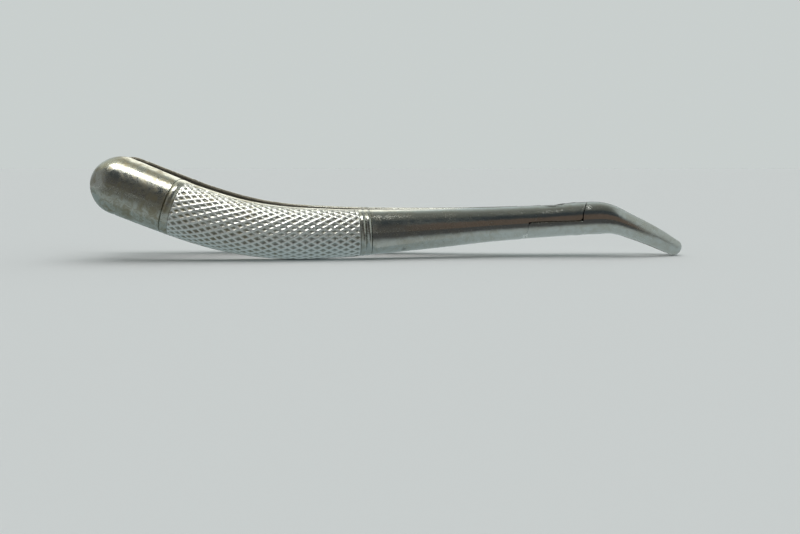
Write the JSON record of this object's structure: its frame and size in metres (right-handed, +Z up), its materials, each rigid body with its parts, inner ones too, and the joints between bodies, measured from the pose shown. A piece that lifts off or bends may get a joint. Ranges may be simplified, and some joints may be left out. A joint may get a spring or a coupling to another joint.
{
  "type": "dental extracting forceps",
  "caption": "Upper-pattern tooth extracting forceps: mirror-image forged halves with checkered bowed handles, a half-lap screw joint and hollowed, down-turned beaks.",
  "frame": {"origin": "on the table under the middle of the overall length, on the plane between the two halves", "axes": "+X along the length towards the beak tips, +Y across, towards the handle of the lower lap half, +Z up"},
  "size_m": [0.1706, 0.0344, 0.029],
  "materials": {
    "plated_steel": "aged nickel plate with olive and brown tarnish",
    "screw_steel": "polished steel, worn slot"
  },
  "bodies": {
    "fixed_half": {"lower_lap_half": "plated_steel", "joint_screw": "screw_steel"},
    "turning_half": {"upper_lap_half": "plated_steel"}
  },
  "joints": [
    {"name": "lap_hinge", "type": "hinge", "parent": "fixed_half", "child": "turning_half", "pos_m": [0.0468, 0, 0.0103], "axis": [-0.0279, 0, 0.9996], "range_deg": [0, 50]}
  ]
}
